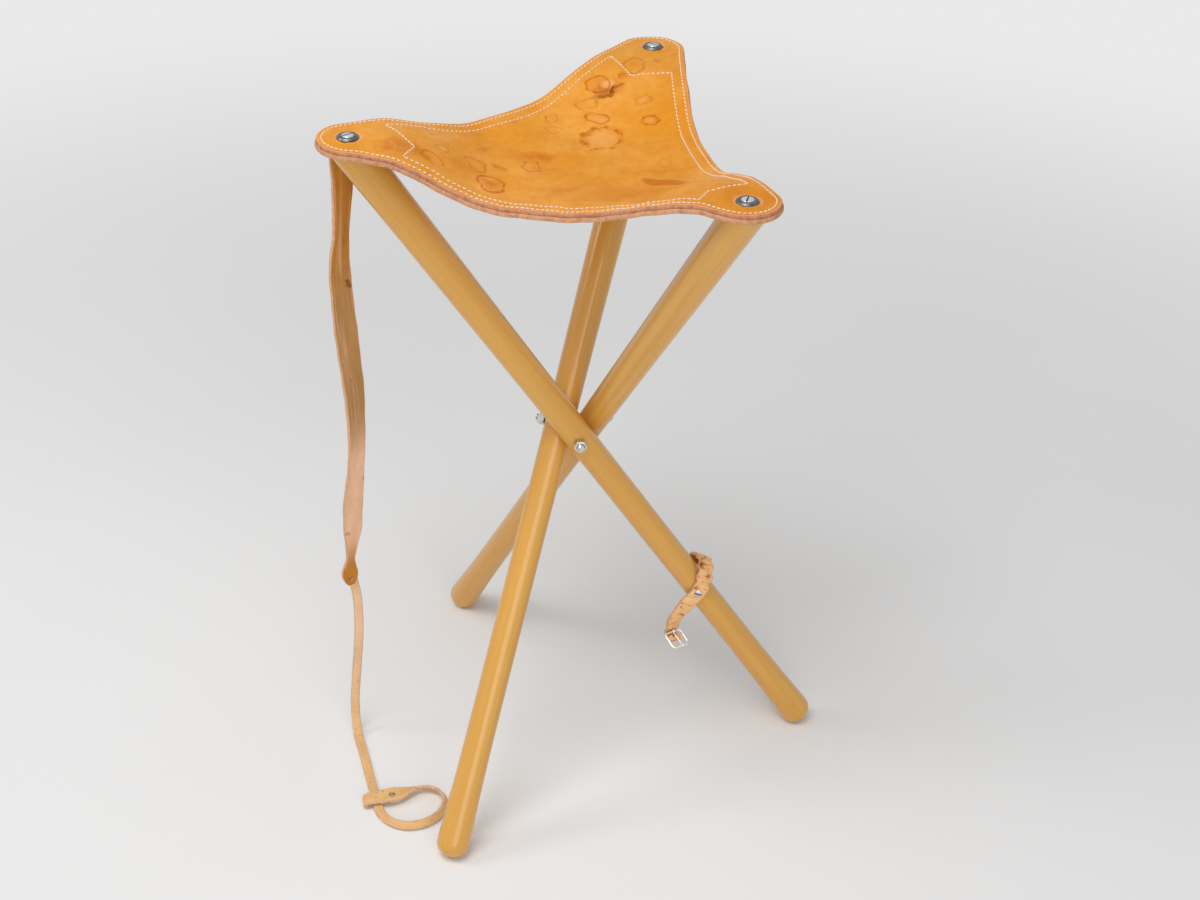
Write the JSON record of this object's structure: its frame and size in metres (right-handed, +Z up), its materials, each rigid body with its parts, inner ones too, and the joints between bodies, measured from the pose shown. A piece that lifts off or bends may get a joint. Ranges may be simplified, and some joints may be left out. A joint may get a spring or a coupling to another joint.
{
  "type": "folding stool",
  "caption": "Folding tripod stool with turned wooden legs on a three-way pivot bolt, a sagging leather sling seat, a hanging carry strap with a slip-loop thong, and a small buckle strap.",
  "frame": {"origin": "centre of the standing stool's bounding box, without its loose strap and thong, at floor level", "axes": "+Z up from the floor; -X towards the left seat corner, which carries the strap; -Y towards the side that the picture is taken from"},
  "size_m": [0.4224, 0.3826, 0.5917],
  "materials": {
    "lacquered_wood": "turned hardwood under glossy honey-coloured lacquer",
    "seat_leather": "vegetable-tanned saddle leather, worn and water-stained, with raw cut edges",
    "strap_leather": "old tan strap leather, dry and slightly cracked",
    "washer_steel": "dulled plated steel",
    "bright_zinc": "bright zinc plate"
  },
  "bodies": {
    "hub": {"three_way_bolt": "bright_zinc", "pivot_nut_left": "bright_zinc", "pivot_nut_back": "bright_zinc", "pivot_nut_right": "bright_zinc", "seat_leather": "seat_leather", "seat_lining": "seat_leather"},
    "left_leg": {"leg_left": "lacquered_wood", "corner_screw_left": "washer_steel", "cup_washer_left": "washer_steel", "buckle_strap": "strap_leather", "buckle_strap_nail": "washer_steel"},
    "back_leg": {"leg_back": "lacquered_wood", "corner_screw_back": "washer_steel", "cup_washer_back": "washer_steel"},
    "right_leg": {"leg_right": "lacquered_wood", "corner_screw_right": "washer_steel", "cup_washer_right": "washer_steel"},
    "hanging_strap": {"carry_strap": "strap_leather", "strap_thong": "strap_leather"},
    "buckle": {"buckle_frame": "bright_zinc"},
    "prong": {"buckle_prong": "bright_zinc"}
  },
  "joints": [
    {"name": "fold_left", "type": "hinge", "parent": "hub", "child": "left_leg", "pos_m": [-0.00757, -0.02385, 0.31558], "axis": [0, 1, 0], "range_deg": [0, 25], "deforming": ["seat_leather", "seat_lining"]},
    {"name": "fold_back", "type": "hinge", "parent": "hub", "child": "back_leg", "pos_m": [-0.02134, 0, 0.31558], "axis": [0.866, -0.5, 0], "range_deg": [0, 25]},
    {"name": "fold_right", "type": "hinge", "parent": "hub", "child": "right_leg", "pos_m": [0.0062, 0, 0.31558], "axis": [-0.866, -0.5, 0], "range_deg": [0, 25]},
    {"name": "strap_hang", "type": "hinge", "parent": "left_leg", "child": "hanging_strap", "pos_m": [-0.19177, -0.00195, 0.57557], "axis": [0, 1, 0], "range_deg": [-25, 0], "deforming": ["carry_strap", "strap_thong"]},
    {"name": "buckle_swing", "type": "hinge", "parent": "left_leg", "child": "buckle", "pos_m": [0.07895, -0.03173, 0.1127], "axis": [-0.829, -0.54, 0.1452], "range_deg": [-10, 30]},
    {"name": "prong_lift", "type": "hinge", "parent": "buckle", "child": "prong", "pos_m": [0.07895, -0.03173, 0.1127], "axis": [-0.829, -0.54, 0.1452], "range_deg": [0, 50]}
  ],
  "couplings": [
    {"joint": "fold_back", "follows": "fold_left", "ratio": 1},
    {"joint": "fold_right", "follows": "fold_left", "ratio": 1},
    {"joint": "strap_hang", "follows": "fold_left", "ratio": -1}
  ]
}
